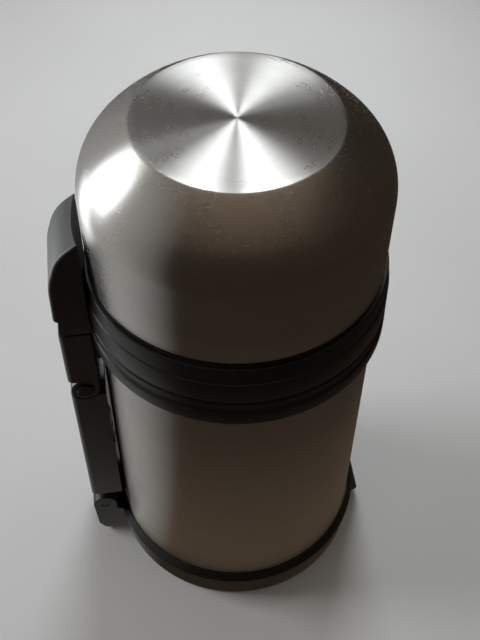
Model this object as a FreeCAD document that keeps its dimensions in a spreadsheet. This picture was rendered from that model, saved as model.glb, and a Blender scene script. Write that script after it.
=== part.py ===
# Insulated food jar with a screw-on cup, a stopper with a vent button and a fold-out carrying handle.
# Frame: millimetres, +Z up, origin at the middle of the underside, the handle on the -X side.

import FreeCAD, Part
import math
import os
import Sketcher

os.makedirs("parts", exist_ok=True)
doc = FreeCAD.newDocument("FoodJar")


# Driving dimensions

sheet = doc.addObject("Spreadsheet::Sheet", "Sizes")

DRIVING = {
    # steel vacuum body
    "body_radius": 50.0,
    "shell_wall": 0.5,
    "shoulder_height": 134.5,
    "shoulder_bend": 6.0,
    "neck_bend": 2.0,
    "neck_inset": 8.5,
    "neck_height": 37.5,
    "lip_width": 3.1,
    "vacuum_gap": 3.5,
    "inner_wall": 0.5,
    "inner_floor_height": 9.0,
    "inner_corner": 8.0,
    "plate_thickness": 0.6,
    "plate_rim": 4.0,
    "getter_radius": 6.0,
    "getter_thickness": 2.0,
    # base cup with its rubber pad, handle foot and rear wedge
    "pad_inset": 4.0,
    "pad_thickness": 1.6,
    "base_floor": 2.0,
    "base_height": 17.0,
    "base_chamfer_height": 2.8,
    "base_edge_stand": 2.7,
    "base_foot_stand": 1.2,
    "base_foot_bevel": 1.0,
    "base_lip": 0.4,
    "foot_heel_stand": 4.1,
    "foot_toe_slope": 2.8,
    "foot_toe_height": 5.5,
    "wedge_width": 17.0,
    "wedge_rise": 10.5,
    "wedge_stand": 5.6,
    "wedge_toe": 3.0,
    # collar with the thread for the cup
    "collar_lap": 1.8,
    "collar_stand": 3.1,
    "collar_height": 10.8,
    "collar_band": 5.3,
    "collar_waist_depth": 0.6,
    "collar_deck": 2.5,
    "sleeve_inset": 3.4,
    "sleeve_wall": 2.4,
    "thread_depth": 1.4,
    "thread_pitch": 5.0,
    "thread_turns": 1.75,
    "thread_room": 2.0,
    # cup
    "cup_joint": 0.8,
    "cup_stand": 0.6,
    "cup_wall": 0.6,
    "cup_height": 54.2,
    "dome_depth": 24.9,
    "dome_break_depth": 10.4,
    "dome_break_inset": 5.6,
    "crown_bend": 59.6,
    "disc_inset": 18.0,
    "liner_gap": 2.2,
    "liner_wall": 0.5,
    "rim_inset": 0.2,
    "rim_low_band": 9.2,
    "rim_band_stand": 1.7,
    "rim_high_band": 6.7,
    "rim_top_stand": 1.2,
    "rim_bevel": 0.4,
    "rim_groove": 1.9,
    "rim_ledge": 1.8,
    "rim_spigot": 7.8,
    # stopper with its vent
    "plug_gap": 1.0,
    "plug_wall": 2.2,
    "plug_depth": 22.0,
    "plug_floor": 2.0,
    "gasket_height": 4.0,
    "gasket_lift": 4.0,
    "gasket_depth": 1.4,
    "chimney_radius": 6.2,
    "chimney_wall": 1.8,
    "cap_lap": 1.0,
    "cap_flange": 4.2,
    "cap_shelf": 7.5,
    "cap_grip_wall": 5.0,
    "cap_height": 12.7,
    "cap_floor": 6.2,
    "cap_bevel": 0.8,
    "scallop_count": 16,
    "scallop_radius": 3.0,
    "scallop_depth": 1.2,
    "button_radius": 8.9,
    "button_thickness": 5.0,
    "button_wall": 2.2,
    "button_recess": 0.5,
    "stem_radius": 2.2,
    "stem_head_radius": 3.5,
    "stem_head_height": 1.2,
    "seal_radius": 5.2,
    "seal_thickness": 2.0,
    "spring_radius": 4.4,
    "spring_wire": 1.0,
    "spring_pitch": 3.4,
    # handle
    "handle_azimuth": 180.0,
    "handle_width": 25.0,
    "lower_pivot_stand": 5.4,
    "lower_pivot_rise": 4.5,
    "middle_pivot_stand": 4.4,
    "link_length": 34.5,
    "upper_pivot_stand": 3.6,
    "upper_pivot_drop": 3.0,
    "pivot_pin_radius": 1.75,
    "slide_pin_radius": 1.5,
    "rivet_head_radius": 3.4,
    "rivet_head_height": 0.8,
    "knuckle_radius": 5.2,
    "foot_knuckle_radius": 5.0,
    "slide_knuckle_radius": 3.0,
    "tongue_width": 12.4,
    "tongue_trim": 1.2,
    "slide_tongue_width": 7.0,
    "slide_tongue_root": 8.0,
    "grip_stand": 1.3,
    "grip_depth": 12.0,
    "grip_start": 9.0,
    "grip_horn": 2.9,
    "grip_horn_relief": 3.7,
    "grip_edge": 2.0,
    "core_depth": 9.0,
    "core_width": 19.0,
    "core_end": 6.0,
    "core_count": 5,
    "core_rib": 2.0,
    "link_inset": 0.7,
    "link_depth": 11.1,
    "link_start": 4.8,
    "link_top_drop": 3.0,
    "link_wall": 2.0,
    "arch_stand": 11.0,
    "arch_root": 8.0,
    "arch_foot_lift": 1.5,
    "arch_foot_bend": 1.4,
    "arch_neck_drop": 6.6,
    "arch_ledge": 1.7,
    "arch_knee_inset": 0.5,
    "arch_knee_rise": 18.0,
    "arch_knee_bend": 30.0,
    "arch_brow_inset": 4.7,
    "arch_brow_rise": 12.8,
    "arch_brow_bend": 18.0,
    "arch_top_rise": 7.0,
    "brow_edge": 1.2,
    "track_wall": 3.3,
    "track_back": 2.0,
    "track_front": 3.5,
    "track_length": 23.5,
    "slide_travel": 12.6,
    "slide_sway": 0.7,
    "screw_drop": 2.1,
    "screw_inset": 2.5,
    "screw_shank_radius": 1.3,
    "screw_head_radius": 2.2,
    "screw_head_height": 2.0,
    "screw_length": 9.0,
    "screw_seat_stand": 3.9,
    # clearances
    "press_gap": 0.02,
    "running_gap": 0.05,
    "seat_gap": 0.1,
    "screw_gap": 0.2,
    "seal_gap": 0.3,
    "free_gap": 0.4,
}

for row, (name, value) in enumerate(DRIVING.items(), start=1):
    sheet.set(f"A{row}", str(value))
    sheet.setAlias(f"A{row}", name)
doc.recompute()


# Lengths that keep the formula they come from

class Size:
    """A number of the sheet, or worked out from it, with the formula that gives it."""

    def __init__(self, value, formula):
        self.value = value
        self.formula = formula

    def __add__(self, other):
        other = as_size(other)
        return Size(self.value + other.value, f"({self.formula} + {other.formula})")

    def __sub__(self, other):
        other = as_size(other)
        return Size(self.value - other.value, f"({self.formula} - {other.formula})")

    def __mul__(self, other):
        other = as_size(other)
        return Size(self.value * other.value, f"({self.formula} * {other.formula})")

    def __truediv__(self, other):
        other = as_size(other)
        return Size(self.value / other.value, f"({self.formula} / {other.formula})")

    def __neg__(self):
        return Size(-self.value, f"(0 - {self.formula})")


def as_size(number):
    """A plain number as a Size."""
    if isinstance(number, Size):
        return number
    return Size(number, f"({number})")


def size(name):
    """The driving dimension of that name."""
    return Size(float(sheet.get(name)), f"Sizes.{name}")


ZERO = Size(0.0, "0")

# Tolerances for finding an edge by its place and direction
NEAR = 0.01
ANGLE_TOLERANCE = 0.01


# Helpers for bodies, sketches and features

def new_body(name):
    """An empty body whose Label names its file."""
    body = doc.addObject("PartDesign::Body", name)
    body.Label = name
    return body


def new_sketch(body, name, plane="XZ_Plane", offset=None):
    """A sketch on one of the body's own origin planes, moved along its normal by offset."""
    sketch = body.newObject("Sketcher::SketchObject", name)
    support = [item for item in body.Origin.OriginFeatures if item.Role == plane][0]
    sketch.AttachmentSupport = (support, [""])
    sketch.MapMode = "FlatFace"
    if offset is not None:
        sketch.setExpression("AttachmentOffset.Base.z", offset.formula)
    return sketch


def hold_at(sketch, geometry, end, place, vertical):
    """Hold one end of a piece of geometry at a coordinate."""
    kind, axis = ("DistanceY", -1) if vertical else ("DistanceX", -2)
    if place.formula == "0":
        sketch.addConstraint(Sketcher.Constraint("PointOnObject", geometry, end, axis))
        return
    index = sketch.addConstraint(Sketcher.Constraint(kind, -1, 1, geometry, end, place.value))
    sketch.setExpression(f"Constraints[{index}]", place.formula)


def arc_between(start, end, radius, side):
    """The minor arc from start to end; side 1 bulges to the right of the way, -1 to the left."""
    chord = end - start
    middle = (start + end) * 0.5
    rise = math.sqrt(radius * radius - chord.Length * chord.Length / 4)
    left = FreeCAD.Vector(-chord.y, chord.x, 0).normalize()
    centre = middle + left * (rise * side)
    circle = Part.Circle(centre, FreeCAD.Vector(0, 0, 1), radius)
    first, last = (start, end) if side > 0 else (end, start)
    first_angle = math.atan2(first.y - centre.y, first.x - centre.x)
    last_angle = math.atan2(last.y - centre.y, last.x - centre.x)
    return Part.ArcOfCircle(circle, first_angle, last_angle)


def draw_outline(sketch, corners):
    """A closed outline. A corner is (x, y), or (x, y, radius, side) where an arc follows it."""
    points = [FreeCAD.Vector(corner[0].value, corner[1].value, 0) for corner in corners]
    ends = []
    for number, corner in enumerate(corners):
        start = points[number]
        end = points[(number + 1) % len(corners)]
        if len(corner) == 2:
            geometry = sketch.addGeometry(Part.LineSegment(start, end))
            ends.append((geometry, 1, 2))
            continue
        radius, side = corner[2], corner[3]
        geometry = sketch.addGeometry(arc_between(start, end, radius.value, side))
        ends.append((geometry, 1, 2) if side > 0 else (geometry, 2, 1))
    for number, corner in enumerate(corners):
        geometry, first, _ = ends[number]
        before, _, last = ends[number - 1]
        sketch.addConstraint(Sketcher.Constraint("Coincident", before, last, geometry, first))
        hold_at(sketch, geometry, first, corner[0], False)
        hold_at(sketch, geometry, first, corner[1], True)
        if len(corner) == 4:
            index = sketch.addConstraint(Sketcher.Constraint("Radius", geometry, corner[2].value))
            sketch.setExpression(f"Constraints[{index}]", corner[2].formula)


def draw_circle(sketch, x, y, radius):
    """A circle held at its centre."""
    centre = FreeCAD.Vector(x.value, y.value, 0)
    geometry = sketch.addGeometry(Part.Circle(centre, FreeCAD.Vector(0, 0, 1), radius.value))
    hold_at(sketch, geometry, 3, x, False)
    hold_at(sketch, geometry, 3, y, True)
    index = sketch.addConstraint(Sketcher.Constraint("Radius", geometry, radius.value))
    sketch.setExpression(f"Constraints[{index}]", radius.formula)


def rectangle(low_x, low_y, high_x, high_y):
    """The corners of an upright rectangle."""
    return [(low_x, low_y), (high_x, low_y), (high_x, high_y), (low_x, high_y)]


def turn(body, name, corners, kind="Revolution"):
    """A full turn of an outline about Z: Revolution adds, Groove cuts."""
    sketch = new_sketch(body, f"{name}_outline")
    draw_outline(sketch, corners)
    feature = body.newObject(f"PartDesign::{kind}", name)
    feature.Profile = sketch
    feature.ReferenceAxis = (sketch, ["V_Axis"])
    feature.Angle = 360
    sketch.Visibility = False
    return feature


def extrude(body, name, sketch, length, kind="Pad"):
    """A sketch pushed out, or cut, by the same amount both ways from its plane."""
    feature = body.newObject(f"PartDesign::{kind}", name)
    feature.Profile = sketch
    feature.SideType = "Symmetric"
    feature.setExpression("Length", length.formula)
    sketch.Visibility = False
    return feature


def slab(body, name, corners, width, kind="Pad"):
    """A side outline made width thick about the middle plane."""
    sketch = new_sketch(body, f"{name}_outline")
    draw_outline(sketch, corners)
    return extrude(body, name, sketch, width, kind)


def disc(body, name, pivot, radius, width, kind="Pad"):
    """A round knuckle or hole across the handle at a pivot."""
    sketch = new_sketch(body, f"{name}_outline")
    draw_circle(sketch, pivot[0], pivot[1], radius)
    return extrude(body, name, sketch, width, kind)


def round_edges(body, name, base, radius, wanted):
    """A fillet on the edges of base that the test picks."""
    doc.recompute()
    names = [f"Edge{number}" for number, edge in enumerate(base.Shape.Edges, start=1) if wanted(edge)]
    feature = body.newObject("PartDesign::Fillet", name)
    feature.Base = (base, names)
    feature.setExpression("Radius", radius.formula)
    return feature


def turn_to_handle(body):
    """Parts drawn towards +X are turned to the handle's side."""
    body.Placement = FreeCAD.Placement(
        FreeCAD.Vector(0, 0, 0), FreeCAD.Rotation(FreeCAD.Vector(0, 0, 1), size("handle_azimuth").value)
    )
    body.setExpression("Placement.Rotation.Angle", size("handle_azimuth").formula)


def runs_along(edge, direction):
    """A straight edge in that direction."""
    if edge.Curve.TypeId != "Part::GeomLine":
        return False
    return abs(edge.tangentAt(edge.FirstParameter).dot(direction)) > 1 - ANGLE_TOLERANCE


def runs_up_at(edge, reach):
    """An upright edge at that distance from the jar's axis."""
    return runs_along(edge, FreeCAD.Vector(0, 0, 1)) and abs(edge.CenterOfMass.x - reach.value) < NEAR


def across_at(*corners):
    """A test for edges along the handle's width that pass through one of the corners."""
    def wanted(edge):
        middle = edge.CenterOfMass
        return runs_along(edge, FreeCAD.Vector(0, 1, 0)) and any(
            abs(middle.x - corner[0].value) < NEAR and abs(middle.z - corner[1].value) < NEAR
            for corner in corners
        )
    return wanted


# Radii, reaches and heights that follow from the driving dimensions

neck_radius = size("body_radius") - size("neck_inset")
mouth_radius = neck_radius - size("lip_width")
mouth_height = size("shoulder_height") + size("neck_height")
pad_radius = size("body_radius") - size("pad_inset")
base_edge_height = size("base_height") - size("base_chamfer_height")
base_edge_radius = size("body_radius") + size("base_edge_stand")
base_foot_radius = size("body_radius") + size("base_foot_stand")
wedge_height = size("base_height") + size("wedge_rise")
wedge_reach = size("body_radius") + size("wedge_stand")
collar_radius = size("body_radius") + size("collar_stand")
collar_bottom = size("shoulder_height") - size("collar_lap")
collar_top = collar_bottom + size("collar_height")
cup_radius = size("body_radius") + size("cup_stand")
rim_bottom = collar_top + size("cup_joint")
rim_low_radius = collar_radius - size("rim_inset")
rim_band_height = rim_bottom + size("rim_low_band")
rim_band_radius = cup_radius + size("rim_band_stand")
rim_top_height = rim_band_height + size("rim_high_band")
rim_top_radius = cup_radius + size("rim_top_stand")
ledge_low = rim_top_height - size("rim_ledge")
sleeve_radius = size("body_radius") - size("sleeve_inset")
sleeve_top = ledge_low - size("free_gap")
rim_bore = sleeve_radius + size("thread_room")
cup_edge_height = rim_top_height + size("rim_groove")
full_height = cup_edge_height + size("cup_height")
dome_start = full_height - size("dome_depth")
dome_break_radius = cup_radius - size("dome_break_inset")
dome_break_height = full_height - size("dome_break_depth")
disc_radius = cup_radius - size("disc_inset")
plug_bottom = mouth_height - size("plug_depth")
cap_bottom = mouth_height + size("seal_gap")
cap_top = cap_bottom + size("cap_height")
cap_radius = neck_radius + size("cap_lap")
cap_grip_radius = cap_radius - size("cap_shelf")
button_height = cap_top - size("button_recess")
upper_pivot_height = collar_top - size("upper_pivot_drop")
lower_pivot = (collar_radius + size("lower_pivot_stand"), size("base_height") + size("lower_pivot_rise"))
middle_pivot = (collar_radius + size("middle_pivot_stand"), upper_pivot_height - size("link_length"))
upper_pivot = (collar_radius + size("upper_pivot_stand"), upper_pivot_height)
foot_heel = lower_pivot[0] + size("foot_heel_stand")
foot_toe = foot_heel - size("foot_toe_slope")
grip_inner = size("body_radius") + size("grip_stand")
grip_outer = grip_inner + size("grip_depth")
grip_low_end = lower_pivot[1] + size("grip_start")
grip_high_end = middle_pivot[1] - size("grip_horn")
link_inner = collar_radius - size("link_inset")
link_outer = link_inner + size("link_depth")
link_low_end = middle_pivot[1] + size("link_start")
link_top = upper_pivot_height - size("link_top_drop")
arch_outer = collar_radius + size("arch_stand")
arch_root = size("body_radius") - size("arch_root")
arch_foot_height = collar_top + size("arch_foot_lift")
arch_neck_reach = arch_outer - size("arch_ledge")
arch_knee = (arch_outer - size("arch_knee_inset"), arch_foot_height + size("arch_knee_rise"))
arch_brow = (arch_outer - size("arch_brow_inset"), arch_knee[1] + size("arch_brow_rise"))
arch_top = arch_brow[1] + size("arch_top_rise")
track_outer = upper_pivot[0] + size("track_front")
track_low_end = upper_pivot_height - size("track_length")
screw_height = collar_top - size("screw_drop")
screw_seat_reach = collar_radius + size("screw_seat_stand")
screw_offset = size("handle_width") / 2 - size("screw_inset")


# Lengths used by more than one piece

shell_bottom = size("pad_thickness") + size("base_floor")
shell_inner = size("body_radius") - size("shell_wall")
neck_inner = neck_radius - size("shell_wall")
lip_bottom = mouth_height - size("inner_wall")
vessel_radius = shell_inner - size("vacuum_gap")
body_bore = size("body_radius") + size("seat_gap")
half_width = size("handle_width") / 2
screw_hole = size("screw_shank_radius") + size("press_gap")
plug_radius = mouth_radius - size("plug_gap")
vent_bore = size("button_radius") + size("free_gap")
seal_top = plug_bottom - size("seal_gap")
button_low = button_height - size("button_thickness")
stem_top = button_low + size("button_wall")


# Steel vacuum body

def make_outer_shell():
    """Drawn outer wall: cylinder, rounded shoulder and upright neck, open at both ends."""
    shoulder_top = size("shoulder_height") + size("shoulder_bend")
    neck_start = shoulder_top + size("neck_bend")
    crown = size("body_radius") - size("shoulder_bend")
    neck_foot = neck_radius + size("neck_bend")
    wall = size("shell_wall")
    corners = [
        (shell_inner, shell_bottom),
        (size("body_radius"), shell_bottom),
        (size("body_radius"), size("shoulder_height"), size("shoulder_bend"), 1),
        (crown, shoulder_top),
        (neck_foot, shoulder_top, size("neck_bend"), -1),
        (neck_radius, neck_start),
        (neck_radius, lip_bottom),
        (neck_inner, lip_bottom),
        (neck_inner, neck_start, size("neck_bend") + wall, 1),
        (neck_foot, shoulder_top - wall),
        (crown, shoulder_top - wall, size("shoulder_bend") - wall, -1),
        (shell_inner, size("shoulder_height")),
    ]
    body = new_body("outer_shell")
    turn(body, "shell_wall_turn", corners)
    return body


def make_inner_vessel():
    """Food vessel inside the vacuum gap, with a lip that closes the gap at the mouth."""
    wall = size("inner_wall")
    neck_outer = mouth_radius + wall
    shoulder = size("shoulder_height") - size("vacuum_gap")
    bend = size("shoulder_bend")
    shoulder_top = shoulder + bend
    neck_foot = neck_outer + size("neck_bend")
    floor = size("inner_floor_height")
    corner = size("inner_corner")
    corners = [
        (ZERO, floor),
        (vessel_radius - corner, floor, corner, 1),
        (vessel_radius, floor + corner),
        (vessel_radius, shoulder, bend, 1),
        (vessel_radius - bend, shoulder_top),
        (neck_foot, shoulder_top, size("neck_bend"), -1),
        (neck_outer, shoulder_top + size("neck_bend")),
        (neck_outer, lip_bottom),
        (neck_radius, lip_bottom),
        (neck_radius, mouth_height),
        (mouth_radius, mouth_height),
        (mouth_radius, shoulder_top + size("neck_bend"), size("neck_bend") + wall, 1),
        (neck_foot, shoulder_top - wall),
        (vessel_radius - bend, shoulder_top - wall, bend - wall, -1),
        (vessel_radius - wall, shoulder),
        (vessel_radius - wall, floor + corner, corner - wall, -1),
        (vessel_radius - corner, floor + wall),
        (ZERO, floor + wall),
    ]
    body = new_body("inner_vessel")
    turn(body, "vessel_turn", corners)
    return body


def make_vacuum_plate():
    """Bottom plate that closes the vacuum space, with its rim turned up along the wall."""
    rim_radius = shell_inner - size("press_gap")
    top = shell_bottom + size("plate_thickness")
    corners = [
        (ZERO, shell_bottom),
        (rim_radius, shell_bottom),
        (rim_radius, shell_bottom + size("plate_rim")),
        (rim_radius - size("plate_thickness"), shell_bottom + size("plate_rim")),
        (rim_radius - size("plate_thickness"), top),
        (ZERO, top),
    ]
    body = new_body("vacuum_plate")
    turn(body, "plate_turn", corners)
    return body


def make_getter():
    """Small tablet on the bottom plate that takes up stray gas."""
    low = shell_bottom + size("plate_thickness")
    corners = rectangle(ZERO, low, size("getter_radius"), low + size("getter_thickness"))
    body = new_body("getter_tablet")
    turn(body, "tablet_turn", corners)
    return body


# Base

def make_base_pad():
    """Rubber disc that the jar stands on."""
    body = new_body("base_pad")
    turn(body, "pad_turn", rectangle(ZERO, ZERO, pad_radius, size("pad_thickness")))
    return body


def make_base_cup():
    """Moulded base round the foot of the steel body, with the handle's foot and the rear wedge."""
    body = new_body("base_cup")
    bevel = size("base_foot_bevel")
    inside = pad_radius + bevel
    pivot_x, pivot_y = lower_pivot
    foot = [
        (inside, bevel),
        (foot_toe, bevel),
        (foot_heel, size("foot_toe_height")),
        (pivot_x + size("foot_knuckle_radius"), pivot_y),
        (pivot_x - size("foot_knuckle_radius"), pivot_y),
        (pivot_x - size("foot_knuckle_radius"), size("base_height")),
        (inside, size("base_height")),
    ]
    foot_pad = slab(body, "foot", foot, size("handle_width"))
    toe, heel = foot[1], foot[2]
    round_edges(body, "foot_rounding", foot_pad, size("grip_edge"), across_at(toe, heel))
    disc(body, "foot_knuckle", lower_pivot, size("foot_knuckle_radius"), size("handle_width"))
    wedge = [
        (-inside, bevel),
        (-inside, wedge_height),
        (-(size("body_radius") + size("base_lip")), wedge_height),
        (-wedge_reach, size("wedge_toe")),
        (-(wedge_reach - bevel), bevel),
    ]
    slab(body, "wedge", wedge, size("wedge_width"))
    ring = [
        (ZERO, size("pad_thickness")),
        (pad_radius + size("seat_gap"), size("pad_thickness")),
        (pad_radius + size("seat_gap"), ZERO),
        (base_foot_radius - bevel, ZERO),
        (base_foot_radius, bevel),
        (base_edge_radius, base_edge_height),
        (size("body_radius") + size("base_lip"), size("base_height")),
        (ZERO, size("base_height")),
    ]
    turn(body, "ring", ring)
    slot_half = size("tongue_width") / 2 + size("free_gap")
    slot_low = pivot_y - size("foot_knuckle_radius")
    slot = rectangle(
        pivot_x - size("foot_knuckle_radius") - size("free_gap"), slot_low + size("free_gap"),
        pivot_x + size("foot_knuckle_radius") * 2, pivot_y + size("foot_knuckle_radius") * 2,
    )
    slab(body, "tongue_slot", slot, slot_half * 2, "Pocket")
    disc(
        body, "tongue_seat", lower_pivot, size("foot_knuckle_radius") + size("free_gap"),
        slot_half * 2, "Pocket",
    )
    disc(
        body, "lower_pin_hole", lower_pivot, size("pivot_pin_radius") + size("press_gap"),
        size("handle_width") * 2, "Pocket",
    )
    turn(body, "bore", rectangle(ZERO, shell_bottom, body_bore, wedge_height * 2), "Groove")
    turn_to_handle(body)
    return body


# Collar

def make_neck_collar():
    """Moulded collar on the shoulder: outer bands, flat deck and the threaded sleeve."""
    deck_low = collar_top - size("collar_deck")
    sleeve_inner = sleeve_radius - size("sleeve_wall")
    neck_bore = neck_radius + size("seat_gap")
    flange_low = sleeve_top - size("sleeve_wall")
    band_top = collar_bottom + size("collar_band")
    waist = collar_radius - size("collar_waist_depth")
    corners = [
        (body_bore, collar_bottom),
        (collar_radius, collar_bottom),
        (collar_radius, band_top),
        (waist, band_top + size("collar_waist_depth")),
        (waist, collar_top - size("collar_waist_depth") * 2),
        (collar_radius - size("seat_gap"), collar_top - size("collar_waist_depth")),
        (waist, collar_top),
        (sleeve_radius, collar_top),
        (sleeve_radius, sleeve_top),
        (neck_bore, sleeve_top),
        (neck_bore, flange_low),
        (sleeve_inner, flange_low),
        (sleeve_inner, deck_low),
        (body_bore, deck_low),
    ]
    body = new_body("neck_collar")
    turn(body, "collar_turn", corners)
    thread_low = collar_top + size("thread_depth") * 2
    thread = [
        (sleeve_radius - size("seat_gap"), thread_low - size("thread_depth")),
        (sleeve_radius + size("thread_depth"), thread_low - size("thread_depth") / 3),
        (sleeve_radius + size("thread_depth"), thread_low + size("thread_depth") / 3),
        (sleeve_radius - size("seat_gap"), thread_low + size("thread_depth")),
    ]
    sketch = new_sketch(body, "thread_outline")
    draw_outline(sketch, thread)
    helix = body.newObject("PartDesign::AdditiveHelix", "cup_thread")
    helix.Profile = sketch
    helix.ReferenceAxis = (sketch, ["V_Axis"])
    helix.Mode = "pitch-turns-angle"
    helix.setExpression("Pitch", size("thread_pitch").formula)
    helix.setExpression("Turns", size("thread_turns").formula)
    sketch.Visibility = False
    screw_sketch = new_sketch(body, "screw_hole_outline", "YZ_Plane", collar_radius)
    for side in (1, -1):
        draw_circle(screw_sketch, screw_offset * side, screw_height, screw_hole)
    reach = (collar_radius - screw_seat_reach + size("screw_length") + size("free_gap")) * 2
    extrude(body, "screw_holes", screw_sketch, reach, "Pocket")
    turn_to_handle(body)
    return body


# Cup

def cup_points(inset):
    """Side points of the cup's dome, moved inwards by inset, with the bend of the lower arc."""
    reach = cup_radius - dome_break_radius
    rise = dome_break_height - dome_start
    bend = (reach * reach + rise * rise) / (reach * 2)
    normal_x = (bend - reach) / bend
    normal_z = rise / bend
    start = (cup_radius - inset, dome_start)
    middle = (dome_break_radius - inset * normal_x, dome_break_height - inset * normal_z)
    top_height = full_height - inset
    edge = (disc_radius - inset * normal_z * normal_z, top_height)
    return start, middle, edge, bend - inset


def dome_wall(body, name, inset, wall, low):
    """A thin domed wall, open below, whose outside lies inset from the cup's outside."""
    start, middle, edge, bend = cup_points(inset)
    inner_start, inner_middle, inner_edge, inner_bend = cup_points(inset + wall)
    crown = size("crown_bend")
    corners = [
        (inner_start[0], low),
        (start[0], low),
        (*start, bend, 1),
        (*middle, crown - inset, 1),
        edge,
        (ZERO, edge[1]),
        (ZERO, inner_edge[1]),
        (*inner_edge, crown - inset - wall, -1),
        (*inner_middle, inner_bend, -1),
        inner_start,
    ]
    turn(body, name, corners)


def make_cup_shell():
    """Outer steel of the cup, with its flat turned top."""
    body = new_body("cup_shell")
    dome_wall(body, "cup_turn", ZERO, size("cup_wall"), cup_edge_height)
    return body


def make_cup_liner():
    """Inner steel of the cup, standing on the rim's ledge."""
    body = new_body("cup_liner")
    dome_wall(body, "liner_turn", size("cup_wall") + size("liner_gap"), size("liner_wall"), rim_top_height)
    return body


def make_cup_rim():
    """Moulded rim of the cup: two bands outside, a bore over the collar's thread inside."""
    liner_outer = cup_radius - size("cup_wall") - size("liner_gap")
    spigot_inner = liner_outer + size("seat_gap")
    spigot_outer = cup_radius - size("cup_wall") - size("seat_gap")
    ledge_inner = liner_outer - size("liner_wall") - size("free_gap")
    edge = size("rim_bevel")
    corners = [
        (rim_bore, rim_bottom),
        (rim_low_radius - edge, rim_bottom),
        (rim_low_radius, rim_bottom + edge),
        (rim_band_radius + edge, rim_band_height),
        (rim_band_radius, rim_band_height + edge),
        (rim_top_radius, rim_top_height - edge),
        (rim_top_radius - edge, rim_top_height),
        (spigot_outer, rim_top_height),
        (spigot_outer, rim_top_height + size("rim_spigot")),
        (spigot_inner, rim_top_height + size("rim_spigot")),
        (spigot_inner, rim_top_height),
        (ledge_inner, rim_top_height),
        (ledge_inner, ledge_low),
        (rim_bore, ledge_low),
    ]
    body = new_body("cup_rim")
    turn(body, "rim_turn", corners)
    return body


# Stopper

def make_stopper_plug():
    """Hollow plug in the mouth, with the vent's chimney and a groove for the gasket."""
    inner = plug_radius - size("plug_wall")
    floor = plug_bottom + size("plug_floor")
    groove_low = floor + size("gasket_lift")
    groove_high = groove_low + size("gasket_height")
    groove = plug_radius - size("gasket_depth")
    chimney = size("chimney_radius") + size("chimney_wall")
    stem_hole = size("stem_radius") + size("free_gap")
    corners = [
        (stem_hole, plug_bottom),
        (plug_radius, plug_bottom),
        (plug_radius, groove_low),
        (groove, groove_low),
        (groove, groove_high),
        (plug_radius, groove_high),
        (plug_radius, cap_bottom),
        (inner, cap_bottom),
        (inner, floor),
        (chimney, floor),
        (chimney, cap_bottom),
        (size("chimney_radius"), cap_bottom),
        (size("chimney_radius"), floor),
        (stem_hole, floor),
    ]
    body = new_body("stopper_plug")
    turn(body, "plug_turn", corners)
    return body


def make_stopper_gasket():
    """Silicone ring in the plug's groove that seals against the mouth."""
    low = plug_bottom + size("plug_floor") + size("gasket_lift")
    inner = plug_radius - size("gasket_depth")
    outer = mouth_radius - size("seal_gap")
    lip = size("gasket_height") / 4
    corners = [
        (inner, low),
        (plug_radius, low),
        (outer, low + lip),
        (plug_radius, low + lip * 2),
        (outer, low + lip * 3),
        (plug_radius, low + lip * 4),
        (inner, low + lip * 4),
    ]
    body = new_body("stopper_gasket")
    turn(body, "gasket_turn", corners)
    return body


def make_stopper_foam():
    """Foam ring that insulates the hollow plug."""
    inner = size("chimney_radius") + size("chimney_wall") + size("seat_gap")
    outer = plug_radius - size("plug_wall") - size("seat_gap")
    low = plug_bottom + size("plug_floor")
    body = new_body("stopper_foam")
    turn(body, "foam_turn", rectangle(inner, low, outer, cap_bottom - size("seat_gap")))
    return body


def make_stopper_cap():
    """Top of the stopper: flange over the lip and a scalloped ring to turn it by."""
    flange_top = cap_bottom + size("cap_flange")
    floor = cap_bottom + size("cap_floor")
    edge = size("cap_bevel")
    ring_inner = cap_grip_radius - size("cap_grip_wall")
    corners = [
        (vent_bore, cap_bottom),
        (cap_radius, cap_bottom),
        (cap_radius, flange_top - edge),
        (cap_radius - edge, flange_top),
        (cap_grip_radius, flange_top),
        (cap_grip_radius, cap_top - edge),
        (cap_grip_radius - edge, cap_top),
        (ring_inner + edge, cap_top),
        (ring_inner, cap_top - edge),
        (ring_inner, floor),
        (vent_bore, floor),
    ]
    body = new_body("stopper_cap")
    turn(body, "cap_turn", corners)
    sketch = new_sketch(body, "scallop_outline", "XY_Plane", cap_top)
    centre = cap_grip_radius + size("scallop_radius") - size("scallop_depth")
    draw_circle(sketch, centre, ZERO, size("scallop_radius"))
    scallop = body.newObject("PartDesign::Pocket", "scallop")
    scallop.Profile = sketch
    scallop.setExpression("Length", (cap_top - flange_top).formula)
    sketch.Visibility = False
    doc.recompute()
    pattern = body.newObject("PartDesign::PolarPattern", "scallops")
    pattern.Originals = [scallop]
    pattern.Axis = (sketch, ["N_Axis"])
    pattern.Angle = 360
    pattern.setExpression("Occurrences", size("scallop_count").formula)
    body.Tip = pattern
    return body


def make_vent_button():
    """Push button in the middle of the stopper."""
    edge = size("cap_bevel")
    room = size("spring_radius") + size("button_wall")
    corners = [
        (ZERO, stem_top),
        (room, stem_top),
        (room, button_low),
        (size("button_radius"), button_low),
        (size("button_radius"), button_height - edge),
        (size("button_radius") - edge, button_height),
        (ZERO, button_height - edge),
    ]
    body = new_body("vent_button")
    turn(body, "button_turn", corners)
    return body


def make_vent_stem():
    """Rod from the button through the chimney, with a head that carries the seal."""
    seal_low = seal_top - size("seal_thickness")
    head_low = seal_low - size("stem_head_height")
    corners = [
        (ZERO, head_low),
        (size("stem_head_radius"), head_low),
        (size("stem_head_radius"), seal_low),
        (size("stem_radius"), seal_low),
        (size("stem_radius"), stem_top),
        (ZERO, stem_top),
    ]
    body = new_body("vent_stem")
    turn(body, "stem_turn", corners)
    return body


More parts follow.
